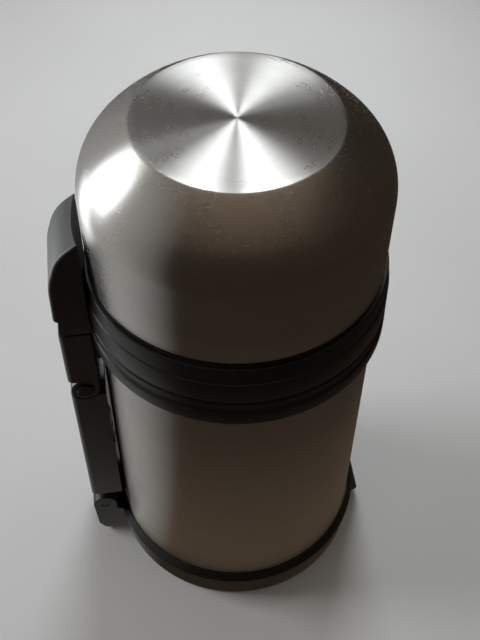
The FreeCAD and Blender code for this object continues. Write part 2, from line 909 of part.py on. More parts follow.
def make_vent_seal():
    """Rubber washer that closes the vent from below."""
    inner = size("stem_radius") + size("press_gap")
    seal_low = seal_top - size("seal_thickness")
    body = new_body("vent_seal")
    turn(body, "seal_turn", rectangle(inner, seal_low, size("seal_radius"), seal_top))
    return body


def make_vent_spring():
    """Coil spring in the chimney that lifts the button."""
    low = plug_bottom + size("plug_floor") + size("spring_wire") / 2 + size("seat_gap")
    high = stem_top - size("spring_wire") / 2 - size("seat_gap")
    path = doc.addObject("Part::Helix", "spring_path")
    path.setExpression("Radius", size("spring_radius").formula)
    path.setExpression("Pitch", size("spring_pitch").formula)
    path.setExpression("Height", (high - low).formula)
    path.setExpression("Placement.Base.z", low.formula)
    wire = doc.addObject("Part::Circle", "spring_section")
    wire.setExpression("Radius", (size("spring_wire") / 2).formula)
    wire.Placement = FreeCAD.Placement(
        FreeCAD.Vector(size("spring_radius").value, 0, low.value),
        FreeCAD.Rotation(FreeCAD.Vector(1, 0, 0), 90),
    )
    wire.setExpression("Placement.Base.x", size("spring_radius").formula)
    wire.setExpression("Placement.Base.z", low.formula)
    doc.recompute()
    spring = doc.addObject("Part::Sweep", "vent_spring")
    spring.Label = "vent_spring"
    spring.Sections = [wire]
    spring.Spine = (path, [f"Edge{number}" for number in range(1, len(path.Shape.Edges) + 1)])
    spring.Solid = True
    spring.Frenet = True
    return spring


# Handle

def make_handle_grip():
    """Long part of the handle, hinged at both ends, cored from the inside."""
    body = new_body("handle_grip")
    pivot_x, pivot_y = middle_pivot
    side = rectangle(grip_inner, grip_low_end, grip_outer, grip_high_end)
    bar = slab(body, "bar", side, size("handle_width"))
    round_edges(
        body, "bar_rounding", bar, size("grip_edge"),
        lambda edge: runs_up_at(edge, grip_outer),
    )
    seat = size("knuckle_radius") + size("free_gap")
    disc(body, "link_seat", middle_pivot, seat, size("handle_width") * 2, "Pocket")
    horn_cut = rectangle(
        grip_inner - size("free_gap"), pivot_y - size("grip_horn_relief"), pivot_x, pivot_y
    )
    slab(body, "inner_horn_cut", horn_cut, size("handle_width") * 2, "Pocket")
    tongue = rectangle(
        pivot_x - size("knuckle_radius") + size("tongue_trim"), pivot_y - size("knuckle_radius") * 2,
        pivot_x + size("knuckle_radius"), pivot_y,
    )
    slab(body, "upper_tongue", tongue, size("tongue_width"))
    disc(body, "upper_knuckle", middle_pivot, size("knuckle_radius"), size("tongue_width"))
    low_x, low_y = lower_pivot
    low_radius = size("foot_knuckle_radius") - size("free_gap")
    low_tongue = rectangle(
        low_x - low_radius, low_y, low_x + low_radius, grip_low_end + size("grip_edge")
    )
    slab(body, "lower_tongue", low_tongue, size("tongue_width"))
    disc(body, "lower_knuckle", lower_pivot, low_radius, size("tongue_width"))
    hole = size("pivot_pin_radius") + size("running_gap")
    disc(body, "upper_bore", middle_pivot, hole, size("handle_width"), "Pocket")
    disc(body, "lower_bore", lower_pivot, hole, size("handle_width"), "Pocket")
    core_sketch = new_sketch(body, "core_outline")
    core_low = grip_low_end + size("core_end")
    step = (grip_high_end - size("core_end") - core_low + size("core_rib")) / size("core_count")
    for number in range(int(size("core_count").value)):
        low = core_low + step * number
        high = low + step - size("core_rib")
        draw_outline(
            core_sketch, rectangle(grip_inner - size("free_gap"), low, grip_inner + size("core_depth"), high)
        )
    extrude(body, "cores", core_sketch, size("core_width"), "Pocket")
    turn_to_handle(body)
    return body


def make_handle_link():
    """Short upper part of the handle: a channel over the track, with ears for the grip."""
    body = new_body("handle_link")
    pivot_x, pivot_y = middle_pivot
    side = [
        (pivot_x - size("knuckle_radius"), pivot_y),
        (pivot_x, pivot_y),
        (pivot_x, link_low_end),
        (link_outer, link_low_end),
        (link_outer, link_top),
        (link_inner, link_top),
    ]
    shell = slab(body, "channel", side, size("handle_width"))
    round_edges(
        body, "channel_rounding", shell, size("grip_edge"),
        lambda edge: runs_up_at(edge, link_outer),
    )
    disc(body, "ears", middle_pivot, size("knuckle_radius"), size("handle_width"))
    ear_gap = size("tongue_width") + size("free_gap") * 2
    clear = size("knuckle_radius") + size("free_gap")
    disc(body, "knuckle_room", middle_pivot, clear, ear_gap, "Pocket")
    room = rectangle(pivot_x - clear * 2, pivot_y - clear * 2, pivot_x + clear, pivot_y)
    slab(body, "tongue_room", room, ear_gap, "Pocket")
    room_low = pivot_y + clear + size("link_wall")
    channel = rectangle(
        size("body_radius"), room_low, link_outer - size("link_wall"), link_top + size("link_wall")
    )
    slab(body, "track_room", channel, size("handle_width") - size("link_wall") * 2, "Pocket")
    top_x, top_y = upper_pivot
    radius = size("slide_knuckle_radius")
    tongue_back = link_outer - size("link_wall") / 2
    tongue = [
        (top_x - radius, top_y),
        (top_x - radius, top_y - radius * 2),
        (tongue_back, room_low + size("slide_tongue_root")),
        (tongue_back, link_top),
        (top_x + radius, top_y),
    ]
    slab(body, "slide_tongue", tongue, size("slide_tongue_width"))
    disc(body, "slide_knuckle", upper_pivot, radius, size("slide_tongue_width"))
    disc(
        body, "slide_pin_hole", upper_pivot, size("slide_pin_radius") + size("press_gap"),
        size("handle_width") * 2, "Pocket",
    )
    disc(
        body, "middle_pin_hole", middle_pivot, size("pivot_pin_radius") + size("press_gap"),
        size("handle_width") * 2, "Pocket",
    )
    turn_to_handle(body)
    return body


def is_brow_side(edge):
    """An edge round one side of the brow, above its foot and outside the steel."""
    middle = edge.CenterOfMass
    return (
        abs(middle.y) > half_width.value - NEAR
        and not runs_along(edge, FreeCAD.Vector(0, 1, 0))
        and middle.x > cup_radius.value
        and middle.z > arch_foot_height.value + NEAR
    )


def make_handle_arch():
    """Fixed upper bracket: a brow that hugs the cup, and the track for the sliding pin."""
    body = new_body("handle_arch")
    neck_low = arch_foot_height - size("arch_neck_drop")
    foot_edge = (arch_outer, arch_foot_height)
    side = [
        (arch_root, neck_low),
        (arch_neck_reach, neck_low),
        (arch_neck_reach, arch_foot_height),
        foot_edge,
        arch_knee,
        arch_brow,
        (size("body_radius"), arch_top),
        (arch_root, arch_top),
    ]
    brow = slab(body, "brow", side, size("handle_width"))
    foot_bend = round_edges(body, "foot_bend", brow, size("arch_foot_bend"), across_at(foot_edge))
    knee_bend = round_edges(body, "knee_bend", foot_bend, size("arch_knee_bend"), across_at(arch_knee))
    brow_bend = round_edges(body, "brow_bend", knee_bend, size("arch_brow_bend"), across_at(arch_brow))
    round_edges(body, "brow_rounding", brow_bend, size("brow_edge"), is_brow_side)
    half_gap = size("slide_tongue_width") / 2 + size("free_gap")
    track_width = (half_gap + size("track_wall")) * 2
    track = rectangle(arch_root, track_low_end, track_outer, arch_foot_height)
    slab(body, "track", track, track_width)
    pivot_x, pivot_y = upper_pivot
    channel = rectangle(
        size("body_radius") + size("track_back"), track_low_end + size("link_wall"),
        arch_outer * 2, arch_foot_height,
    )
    slab(body, "tongue_channel", channel, half_gap * 2, "Pocket")
    slot_half = size("slide_pin_radius") + size("slide_sway") + size("seat_gap")
    slot_reach = pivot_x + size("seat_gap")
    slot = rectangle(
        slot_reach - slot_half, pivot_y - size("slide_travel") - size("slide_pin_radius") - size("free_gap"),
        slot_reach + slot_half, pivot_y + size("slide_pin_radius") + size("free_gap"),
    )
    slab(body, "pin_slot", slot, track_width + size("free_gap"), "Pocket")
    sketch = new_sketch(body, "shank_hole_outline", "YZ_Plane", collar_radius)
    for sign in (1, -1):
        draw_circle(
            sketch, screw_offset * sign, screw_height,
            size("screw_shank_radius") + size("seat_gap"),
        )
    extrude(body, "shank_holes", sketch, size("handle_width"), "Pocket")
    head_sketch = new_sketch(body, "head_hole_outline", "YZ_Plane", screw_seat_reach)
    for sign in (1, -1):
        draw_circle(
            head_sketch, screw_offset * sign, screw_height,
            size("screw_head_radius") + size("screw_gap"),
        )
    heads = body.newObject("PartDesign::Pocket", "head_holes")
    heads.Profile = head_sketch
    heads.Reversed = True
    heads.setExpression("Length", size("handle_width").formula)
    head_sketch.Visibility = False
    rim_clear = rim_low_radius + size("free_gap")
    collar_clear = collar_radius + size("running_gap")
    body_clear = size("body_radius") + size("free_gap")
    step_low = collar_bottom - size("free_gap")
    step_mid = collar_top + size("free_gap")
    hollow = [
        (ZERO, track_low_end - size("free_gap")),
        (body_clear, track_low_end - size("free_gap")),
        (body_clear, step_low),
        (collar_clear, step_low),
        (collar_clear, step_mid),
        (rim_clear, step_mid),
        (rim_clear, arch_top * 2),
        (ZERO, arch_top * 2),
    ]
    turn(body, "jar_clearance", hollow, "Groove")
    turn_to_handle(body)
    return body


def make_pin(name, pivot, radius, length, head_radius=None, head_height=None):
    """A pin across the handle, with flat ends or with rivet heads."""
    body = new_body(name)
    half = length / 2
    if head_radius is None:
        turn(body, f"{name}_turn", rectangle(ZERO, -half, radius, half))
    else:
        edge = head_height / 2
        corners = [
            (ZERO, -half - head_height),
            (head_radius - edge, -half - head_height),
            (head_radius, -half - edge),
            (head_radius, -half),
            (radius, -half),
            (radius, half),
            (head_radius, half),
            (head_radius, half + edge),
            (head_radius - edge, half + head_height),
            (ZERO, half + head_height),
        ]
        turn(body, f"{name}_turn", corners)
    azimuth = math.radians(size("handle_azimuth").value)
    reach = pivot[0].value
    body.Placement = FreeCAD.Placement(
        FreeCAD.Vector(reach * math.cos(azimuth), reach * math.sin(azimuth), pivot[1].value),
        FreeCAD.Rotation(FreeCAD.Vector(0, 0, 1), size("handle_azimuth").value)
        .multiply(FreeCAD.Rotation(FreeCAD.Vector(1, 0, 0), 90)),
    )
    angle = size("handle_azimuth").formula
    body.setExpression("Placement.Base.x", f"{pivot[0].formula} * cos({angle} * 1 deg)")
    body.setExpression("Placement.Base.y", f"{pivot[0].formula} * sin({angle} * 1 deg)")
    body.setExpression("Placement.Base.z", pivot[1].formula)
    return body


def make_arch_screws():
    """The two screws that hold the arch to the collar."""
    body = new_body("arch_screws")
    body.AllowCompound = True
    shank_sketch = new_sketch(body, "shank_outline", "YZ_Plane", screw_seat_reach)
    head_sketch = new_sketch(body, "head_outline", "YZ_Plane", screw_seat_reach)
    for sign in (1, -1):
        draw_circle(shank_sketch, screw_offset * sign, screw_height, size("screw_shank_radius"))
        draw_circle(head_sketch, screw_offset * sign, screw_height, size("screw_head_radius"))
    shanks = body.newObject("PartDesign::Pad", "shanks")
    shanks.Profile = shank_sketch
    shanks.Reversed = True
    shanks.setExpression("Length", size("screw_length").formula)
    heads = body.newObject("PartDesign::Pad", "heads")
    heads.Profile = head_sketch
    heads.setExpression("Length", size("screw_head_height").formula)
    shank_sketch.Visibility = False
    head_sketch.Visibility = False
    turn_to_handle(body)
    return body


pieces = [
    make_outer_shell(),
    make_inner_vessel(),
    make_vacuum_plate(),
    make_getter(),
    make_base_pad(),
    make_base_cup(),
    make_neck_collar(),
    make_cup_shell(),
    make_cup_liner(),
    make_cup_rim(),
    make_stopper_plug(),
    make_stopper_gasket(),
    make_stopper_foam(),
    make_stopper_cap(),
    make_vent_button(),
    make_vent_stem(),
    make_vent_seal(),
    make_vent_spring(),
    make_handle_grip(),
    make_handle_link(),
    make_handle_arch(),
    make_arch_screws(),
    make_pin(
        "lower_hinge_pin", lower_pivot, size("pivot_pin_radius"), size("handle_width") - size("free_gap")
    ),
    make_pin(
        "middle_hinge_pin", middle_pivot, size("pivot_pin_radius"), size("handle_width"),
        size("rivet_head_radius"), size("rivet_head_height"),
    ),
    make_pin(
        "sliding_pin", upper_pivot, size("slide_pin_radius"),
        size("slide_tongue_width") + (size("track_wall") + size("free_gap")) * 2,
    ),
]
doc.recompute()


# Checks, then one file for each piece

broken = [item.Name for item in doc.Objects if "Invalid" in item.State or "Error" in item.State]
if broken:
    raise RuntimeError(f"objects that did not build: {broken}")
for piece in pieces:
    if piece.Shape.isNull() or not piece.Shape.isValid():
        raise RuntimeError(f"bad shape: {piece.Label}")
for piece in pieces:
    piece.Shape.exportStep(f"parts/{piece.Label}.step")
    box = piece.Shape.BoundBox
    print(f"{piece.Label}: {len(piece.Shape.Solids)} solid, {piece.Shape.Volume:.0f} mm3, "
          f"x {box.XMin:.1f} {box.XMax:.1f}, z {box.ZMin:.1f} {box.ZMax:.1f}")
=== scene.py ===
# Looks of the insulated food jar: turned steel, satin mouldings, rubber and the folded carrying handle.
# Metres, +Z up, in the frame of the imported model: the handle is on the -X side.

import math

import bpy
from mathutils import Matrix, Vector


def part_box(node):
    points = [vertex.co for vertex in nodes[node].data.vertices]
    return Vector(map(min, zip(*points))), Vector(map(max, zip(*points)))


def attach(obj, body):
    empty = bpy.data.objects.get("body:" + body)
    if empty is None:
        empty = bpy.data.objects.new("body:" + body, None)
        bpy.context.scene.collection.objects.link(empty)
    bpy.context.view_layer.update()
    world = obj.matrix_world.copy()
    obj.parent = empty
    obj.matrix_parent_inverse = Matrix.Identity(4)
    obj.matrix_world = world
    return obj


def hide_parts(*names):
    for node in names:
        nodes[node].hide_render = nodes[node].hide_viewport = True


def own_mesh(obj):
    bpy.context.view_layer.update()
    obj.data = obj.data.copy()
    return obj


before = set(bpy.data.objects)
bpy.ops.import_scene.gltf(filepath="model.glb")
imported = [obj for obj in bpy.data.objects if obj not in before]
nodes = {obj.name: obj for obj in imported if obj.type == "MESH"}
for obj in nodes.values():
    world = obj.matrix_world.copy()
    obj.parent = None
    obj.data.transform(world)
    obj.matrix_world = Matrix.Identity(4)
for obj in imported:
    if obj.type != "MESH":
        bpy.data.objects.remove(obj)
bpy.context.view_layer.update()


# Sizes

MM = 0.001
SEGMENTS = 256
ARC_STEPS = 5
SMOOTH_ANGLE = math.radians(28)

body_low, body_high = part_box("outer_shell")
BODY_RADIUS = body_high.x / MM
SHELL_LOW = body_low.z / MM
NECK_TOP = body_high.z / MM
COLLAR_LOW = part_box("neck_collar")[0].z / MM
COLLAR_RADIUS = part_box("neck_collar")[1].x / MM
SLEEVE_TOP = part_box("neck_collar")[1].z / MM
CUP_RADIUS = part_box("cup_shell")[1].x / MM
CUP_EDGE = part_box("cup_shell")[0].z / MM
CUP_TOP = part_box("cup_shell")[1].z / MM
RIM_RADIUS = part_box("cup_rim")[1].x / MM
RIM_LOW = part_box("cup_rim")[0].z / MM
SPIGOT_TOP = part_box("cup_rim")[1].z / MM
DISC_RADIUS = 32.6


# Camera at the photograph's viewing angle

FOCAL_LENGTH = 55.54
CAMERA_PLACE = (-0.03247, -0.23103, 0.40282)
CAMERA_TURN = math.radians(-8.0)
CAMERA_PITCH = 0.876739
CAMERA_YAW = 0.00646117
CAMERA_ROLL = -0.0109711


def make_camera():
    """The camera looks down on the jar from the front, a little to its left."""
    cos, sin = math.cos, math.sin
    ahead = Vector((
        sin(CAMERA_YAW) * cos(CAMERA_PITCH), cos(CAMERA_YAW) * cos(CAMERA_PITCH), -sin(CAMERA_PITCH)
    ))
    right = Vector((cos(CAMERA_YAW), -sin(CAMERA_YAW), 0))
    down = ahead.cross(right)
    level = right * cos(CAMERA_ROLL) + down * sin(CAMERA_ROLL)
    upright = right * sin(CAMERA_ROLL) - down * cos(CAMERA_ROLL)
    axes = Matrix((level, upright, -ahead)).transposed()
    turned = Matrix.Rotation(CAMERA_TURN, 3, "Z") @ axes
    bpy.ops.object.camera_add(location=CAMERA_PLACE)
    camera = bpy.context.object
    camera.name = "photo_camera"
    camera.data.lens = FOCAL_LENGTH
    camera.data.sensor_width = 36.0
    camera.data.clip_start = 0.01
    camera.rotation_euler = turned.to_euler()
    bpy.context.scene.camera = camera


make_camera()


# Shader helpers

def new_group(name, inputs, outputs):
    """An empty node group with named inputs {name: (kind, default)} and outputs {name: kind}."""
    group = bpy.data.node_groups.new(name, "ShaderNodeTree")
    for label, (kind, default) in inputs.items():
        socket = group.interface.new_socket(label, in_out="INPUT", socket_type=kind)
        socket.default_value = default
    for label, kind in outputs.items():
        group.interface.new_socket(label, in_out="OUTPUT", socket_type=kind)
    return group, group.nodes.new("NodeGroupInput"), group.nodes.new("NodeGroupOutput")


def add_math(tree, operation, first, second=None, third=None):
    """A math node; each input is a socket or a number."""
    node = tree.nodes.new("ShaderNodeMath")
    node.operation = operation
    for slot, value in zip(node.inputs, (first, second, third)):
        if value is None:
            continue
        if isinstance(value, bpy.types.NodeSocket):
            tree.links.new(value, slot)
        else:
            slot.default_value = value
    return node.outputs[0]


def add_noise(tree, vector, scale, detail=3.0, roughness=0.5):
    """Soft noise around 0.5, with features of about 1 / scale."""
    node = tree.nodes.new("ShaderNodeTexNoise")
    node.inputs["Scale"].default_value = scale
    node.inputs["Detail"].default_value = detail
    node.inputs["Roughness"].default_value = roughness
    tree.links.new(vector, node.inputs["Vector"])
    return node.outputs["Fac"]


def add_range(tree, value, low, high, to_low=0.0, to_high=1.0):
    """Stretch value from low..high to to_low..to_high, held at both ends."""
    node = tree.nodes.new("ShaderNodeMapRange")
    tree.links.new(value, node.inputs["Value"])
    for label, number in (("From Min", low), ("From Max", high), ("To Min", to_low), ("To Max", to_high)):
        if isinstance(number, bpy.types.NodeSocket):
            tree.links.new(number, node.inputs[label])
        else:
            node.inputs[label].default_value = number
    return node.outputs["Result"]


def add_scaled(tree, vector, scale):
    """The vector with each axis times its own scale."""
    node = tree.nodes.new("ShaderNodeVectorMath")
    node.operation = "MULTIPLY"
    tree.links.new(vector, node.inputs[0])
    node.inputs[1].default_value = scale
    return node.outputs[0]


def add_level_length(tree, across, along):
    """Length of the level vector with these two parts."""
    square = add_math(tree, "MULTIPLY", across, across)
    return add_math(tree, "SQRT", add_math(tree, "MULTIPLY_ADD", along, along, square))


def add_cylinder_place(tree, vector):
    """Turn, distance from the axis and height, so that patterns run round the jar."""
    split = tree.nodes.new("ShaderNodeSeparateXYZ")
    tree.links.new(vector, split.inputs[0])
    turn = add_math(tree, "ARCTAN2", split.outputs["Y"], split.outputs["X"])
    reach = add_level_length(tree, split.outputs["X"], split.outputs["Y"])
    return turn, reach, split.outputs["Z"]


def mix_colours(tree, factor, first, second):
    """From the first colour at factor 0 to the second at 1; each is a socket or a colour."""
    node = tree.nodes.new("ShaderNodeMix")
    node.data_type = "RGBA"
    for label, value in (("Factor", factor), ("A", first), ("B", second)):
        sockets = [item for item in node.inputs if item.name == label and item.enabled]
        target = sockets[0] if label == "Factor" else [item for item in sockets if item.type == "RGBA"][0]
        if isinstance(value, bpy.types.NodeSocket):
            tree.links.new(value, target)
        else:
            target.default_value = value
    return [item for item in node.outputs if item.type == "RGBA"][0]


# Shader groups shared by the finishes

def make_brushing_group():
    """Fine turning lines that run round the axis, with broader bands: a height and a mask."""
    group, given, out = new_group(
        "turning_lines",
        {
            "Place": ("NodeSocketVector", (0, 0, 0)),
            "Line Scale": ("NodeSocketFloat", 6000.0),
            "Round Scale": ("NodeSocketFloat", 2.0),
        },
        {"Height": "NodeSocketFloat", "Bands": "NodeSocketFloat"},
    )
    turn, reach, height = add_cylinder_place(group, given.outputs["Place"])
    along = add_math(group, "ADD", reach, height)
    scaled_line = add_math(group, "MULTIPLY", along, given.outputs["Line Scale"])
    cosine = add_math(group, "MULTIPLY", add_math(group, "COSINE", turn), given.outputs["Round Scale"])
    sine = add_math(group, "MULTIPLY", add_math(group, "SINE", turn), given.outputs["Round Scale"])
    join = group.nodes.new("ShaderNodeCombineXYZ")
    group.links.new(cosine, join.inputs[0])
    group.links.new(sine, join.inputs[1])
    group.links.new(scaled_line, join.inputs[2])
    fine = add_noise(group, join.outputs[0], 1.0, 4.0, 0.7)
    slow = group.nodes.new("ShaderNodeCombineXYZ")
    group.links.new(cosine, slow.inputs[0])
    group.links.new(sine, slow.inputs[1])
    group.links.new(add_math(group, "MULTIPLY", scaled_line, 0.06), slow.inputs[2])
    bands = add_noise(group, slow.outputs[0], 1.0, 3.0, 0.6)
    group.links.new(fine, out.inputs["Height"])
    group.links.new(bands, out.inputs["Bands"])
    return group


def make_scratch_group():
    """Sparse fine straight scratches from use, in three directions: a mask."""
    group, given, out = new_group(
        "stray_scratches",
        {
            "Place": ("NodeSocketVector", (0, 0, 0)),
            "Amount": ("NodeSocketFloat", 0.5),
        },
        {"Mask": "NodeSocketFloat"},
    )
    total = None
    directions = (
        (0.5, (3400, 120, 900)),
        (1.6, (3800, 150, 1300)),
        (2.7, (3200, 100, 1100)),
    )
    for tilt, stretch in directions:
        turned = group.nodes.new("ShaderNodeVectorRotate")
        turned.rotation_type = "EULER_XYZ"
        turned.inputs["Rotation"].default_value = (0.12 * tilt, 0.1 * tilt, tilt)
        group.links.new(given.outputs["Place"], turned.inputs["Vector"])
        dash = add_noise(group, add_scaled(group, turned.outputs[0], stretch), 1.0, 0.0)
        patch = add_range(group, add_noise(group, turned.outputs[0], 60.0, 2.0), 0.50, 0.66)
        mask = add_math(group, "MULTIPLY", add_range(group, dash, 0.76, 0.80), patch)
        total = mask if total is None else add_math(group, "MAXIMUM", total, mask)
    group.links.new(add_math(group, "MULTIPLY", total, given.outputs["Amount"]), out.inputs["Mask"])
    return group


def make_dust_group():
    """Specks of dust and rubbed spots that gather in patches: a mask."""
    group, given, out = new_group(
        "dust_specks",
        {
            "Place": ("NodeSocketVector", (0, 0, 0)),
            "Speck Scale": ("NodeSocketFloat", 2200.0),
            "Patch Scale": ("NodeSocketFloat", 45.0),
            "Patch Level": ("NodeSocketFloat", 0.6),
        },
        {"Mask": "NodeSocketFloat"},
    )
    noise = group.nodes.new("ShaderNodeTexNoise")
    noise.inputs["Detail"].default_value = 2.0
    group.links.new(given.outputs["Place"], noise.inputs["Vector"])
    group.links.new(given.outputs["Speck Scale"], noise.inputs["Scale"])
    specks = add_range(group, noise.outputs["Fac"], 0.66, 0.74)
    patches = group.nodes.new("ShaderNodeTexNoise")
    patches.inputs["Detail"].default_value = 3.0
    group.links.new(given.outputs["Place"], patches.inputs["Vector"])
    group.links.new(given.outputs["Patch Scale"], patches.inputs["Scale"])
    high = add_math(group, "ADD", given.outputs["Patch Level"], 0.08)
    area = add_range(group, patches.outputs["Fac"], given.outputs["Patch Level"], high)
    group.links.new(add_math(group, "MULTIPLY", specks, area), out.inputs["Mask"])
    return group


def make_grain_group():
    """Fine spark-eroded texture of a mould, with slow unevenness of the gloss."""
    group, given, out = new_group(
        "mould_grain",
        {"Place": ("NodeSocketVector", (0, 0, 0)), "Grain Scale": ("NodeSocketFloat", 1800.0)},
        {"Height": "NodeSocketFloat", "Gloss Drift": "NodeSocketFloat"},
    )
    cells = group.nodes.new("ShaderNodeTexVoronoi")
    cells.feature = "SMOOTH_F1"
    group.links.new(given.outputs["Place"], cells.inputs["Vector"])
    group.links.new(given.outputs["Grain Scale"], cells.inputs["Scale"])
    noise = group.nodes.new("ShaderNodeTexNoise")
    noise.inputs["Detail"].default_value = 3.0
    group.links.new(given.outputs["Place"], noise.inputs["Vector"])
    group.links.new(given.outputs["Grain Scale"], noise.inputs["Scale"])
    joined = add_math(group, "MULTIPLY_ADD", cells.outputs["Distance"], 0.6, noise.outputs["Fac"])
    drift = add_noise(group, given.outputs["Place"], 38.0, 4.0, 0.6)
    group.links.new(joined, out.inputs["Height"])
    group.links.new(drift, out.inputs["Gloss Drift"])
    return group


TURNING = make_brushing_group()
SCRATCHES = make_scratch_group()
DUST = make_dust_group()
GRAIN = make_grain_group()


class Finish:
    """A material under construction: its tree, shader and object coordinates."""

    def __init__(self, name):
        self.material = bpy.data.materials.new(name)
        self.material.use_nodes = True
        self.tree = self.material.node_tree
        self.shader = self.tree.nodes["Principled BSDF"]
        self.place = self.tree.nodes.new("ShaderNodeTexCoord").outputs["Object"]

    def group(self, group, **values):
        """A shared node group at the object's coordinates, with its values."""
        node = self.tree.nodes.new("ShaderNodeGroup")
        node.node_tree = group
        self.tree.links.new(self.place, node.inputs["Place"])
        for label, value in values.items():
            node.inputs[label.replace("_", " ")].default_value = value
        return node.outputs

    def link(self, source, label):
        self.tree.links.new(source, self.shader.inputs[label])

    def set(self, **values):
        for label, value in values.items():
            self.shader.inputs[label.replace("_", " ")].default_value = value

    def bump(self, height, depth):
        """Relief of the given depth in metres."""
        node = self.tree.nodes.new("ShaderNodeBump")
        node.inputs["Strength"].default_value = 1.0
        node.inputs["Distance"].default_value = depth
        self.tree.links.new(height, node.inputs["Height"])
        self.link(node.outputs["Normal"], "Normal")

    def round_tangent(self):
        """Highlights stretch across lines that run round the axis."""
        node = self.tree.nodes.new("ShaderNodeTangent")
        node.direction_type = "RADIAL"
        node.axis = "Z"
        self.link(node.outputs[0], "Tangent")


ACROSS_LINES = 0.25
SCRATCH_COLOUR = (0.86, 0.86, 0.85, 1.0)
SCUFF_COLOUR = (0.05, 0.05, 0.05, 1.0)
DUST_COLOUR = (0.42, 0.42, 0.40, 1.0)
RUBBER_GRAIN = 0.00002


def steel_finish(name, colour, roughness, anisotropy, line_scale, line_depth, scratch_amount):
    """Stainless steel with turning lines round the jar's axis and stray scratches."""
    finish = Finish(name)
    tree = finish.tree
    lines = finish.group(TURNING, Line_Scale=line_scale)
    scratches = finish.group(SCRATCHES, Amount=scratch_amount)
    smudges = add_noise(tree, finish.place, 16.0, 4.0, 0.6)
    dark = tuple(part * 0.92 for part in colour[:3]) + (1.0,)
    toned = mix_colours(tree, add_range(tree, lines["Bands"], 0.3, 0.7), dark, colour)
    finish.link(mix_colours(tree, scratches["Mask"], toned, SCRATCH_COLOUR), "Base Color")
    drift = add_range(tree, smudges, 0.3, 0.7, roughness - 0.03, roughness + 0.04)
    uneven = add_math(tree, "MULTIPLY_ADD", lines["Bands"], 0.05, drift)
    finish.link(add_math(tree, "MULTIPLY_ADD", scratches["Mask"], 0.22, uneven), "Roughness")
    finish.bump(lines["Height"], line_depth)
    finish.set(Metallic=1.0, Anisotropic=anisotropy, Anisotropic_Rotation=ACROSS_LINES)
    finish.round_tangent()
    return finish.material


def moulded_finish(name, colour, roughness, grain_depth, dust_level, gloss_level=0.5):
    """Satin moulded plastic with a fine grain, scuffs and patches of dust."""
    finish = Finish(name)
    tree = finish.tree
    grain = finish.group(GRAIN)
    dust = finish.group(DUST, Patch_Level=dust_level)
    scratches = finish.group(SCRATCHES, Amount=0.35)
    worn = tuple(part * 2.2 + 0.003 for part in colour[:3]) + (1.0,)
    toned = mix_colours(tree, add_range(tree, grain["Gloss Drift"], 0.45, 0.75, 0.0, 0.45), colour, worn)
    scuffed = mix_colours(tree, scratches["Mask"], toned, SCUFF_COLOUR)
    dusty = mix_colours(tree, dust["Mask"], scuffed, DUST_COLOUR)
    finish.link(dusty, "Base Color")
    gloss = add_range(tree, grain["Gloss Drift"], 0.3, 0.7, roughness - 0.05, roughness + 0.06)
    finish.link(add_math(tree, "MULTIPLY_ADD", dust["Mask"], 0.35, gloss), "Roughness")
    finish.bump(grain["Height"], grain_depth)
    finish.set(Specular_IOR_Level=gloss_level)
    return finish.material


# Steels: colour, roughness, anisotropy, lines per metre, their depth in metres, share of scratches
DOME_STEEL = steel_finish(
    "dome_steel", (0.62, 0.60, 0.575, 1.0), 0.23, 0.75, 5200.0, 0.0000008, 0.3
)
BODY_STEEL = steel_finish(
    "body_steel", (0.60, 0.58, 0.555, 1.0), 0.29, 0.80, 4200.0, 0.0000022, 0.5
)
DISC_STEEL = steel_finish(
    "turned_disc_steel", (0.72, 0.71, 0.69, 1.0), 0.24, 1.0, 5200.0, 0.0000006, 0.35
)
INNER_STEEL = steel_finish(
    "inner_steel", (0.60, 0.59, 0.57, 1.0), 0.33, 0.5, 2600.0, 0.000004, 0.2
)
PIN_STEEL = steel_finish(
    "pin_steel", (0.30, 0.29, 0.28, 1.0), 0.36, 0.2, 3000.0, 0.000004, 0.3
)
BLACKENED_STEEL = steel_finish(
    "blackened_steel", (0.050, 0.050, 0.052, 1.0), 0.40, 0.1, 3000.0, 0.000004, 0.3
)

# Mouldings: colour, roughness, depth of the grain in metres, level above which dust shows, gloss
RIM_PLASTIC = moulded_finish(
    "rim_plastic", (0.0045, 0.0045, 0.0045, 1.0), 0.33, 0.000008, 0.66
)
COLLAR_PLASTIC = moulded_finish(
    "collar_plastic", (0.0045, 0.0045, 0.0045, 1.0), 0.36, 0.000008, 0.74
)
BASE_PLASTIC = moulded_finish(
    "base_plastic", (0.0065, 0.0065, 0.0060, 1.0), 0.42, 0.000012, 0.72
)
HANDLE_PLASTIC = moulded_finish(
    "handle_plastic", (0.0055, 0.0058, 0.0055, 1.0), 0.34, 0.000010, 0.74, 0.8
)
STOPPER_PLASTIC = moulded_finish(
    "stopper_plastic", (0.035, 0.035, 0.036, 1.0), 0.42, 0.000014, 0.75
)
BUTTON_PLASTIC = moulded_finish(
    "button_plastic", (0.10, 0.10, 0.105, 1.0), 0.38, 0.000012, 0.75
)


def rubber_finish(name, colour, roughness):
    """Matt rubber with a dull bloom and fine pores."""
    finish = Finish(name)
    tree = finish.tree
    grain = finish.group(GRAIN, Grain_Scale=2600.0)
    bloom = tuple(part * 1.7 + 0.01 for part in colour[:3]) + (1.0,)
    bloomed = add_range(tree, grain["Gloss Drift"], 0.4, 0.7)
    finish.link(mix_colours(tree, bloomed, colour, bloom), "Base Color")
    gloss = add_range(tree, grain["Gloss Drift"], 0.3, 0.7, roughness - 0.08, roughness + 0.05)
    finish.link(gloss, "Roughness")
    finish.bump(grain["Height"], RUBBER_GRAIN)
    return finish.material


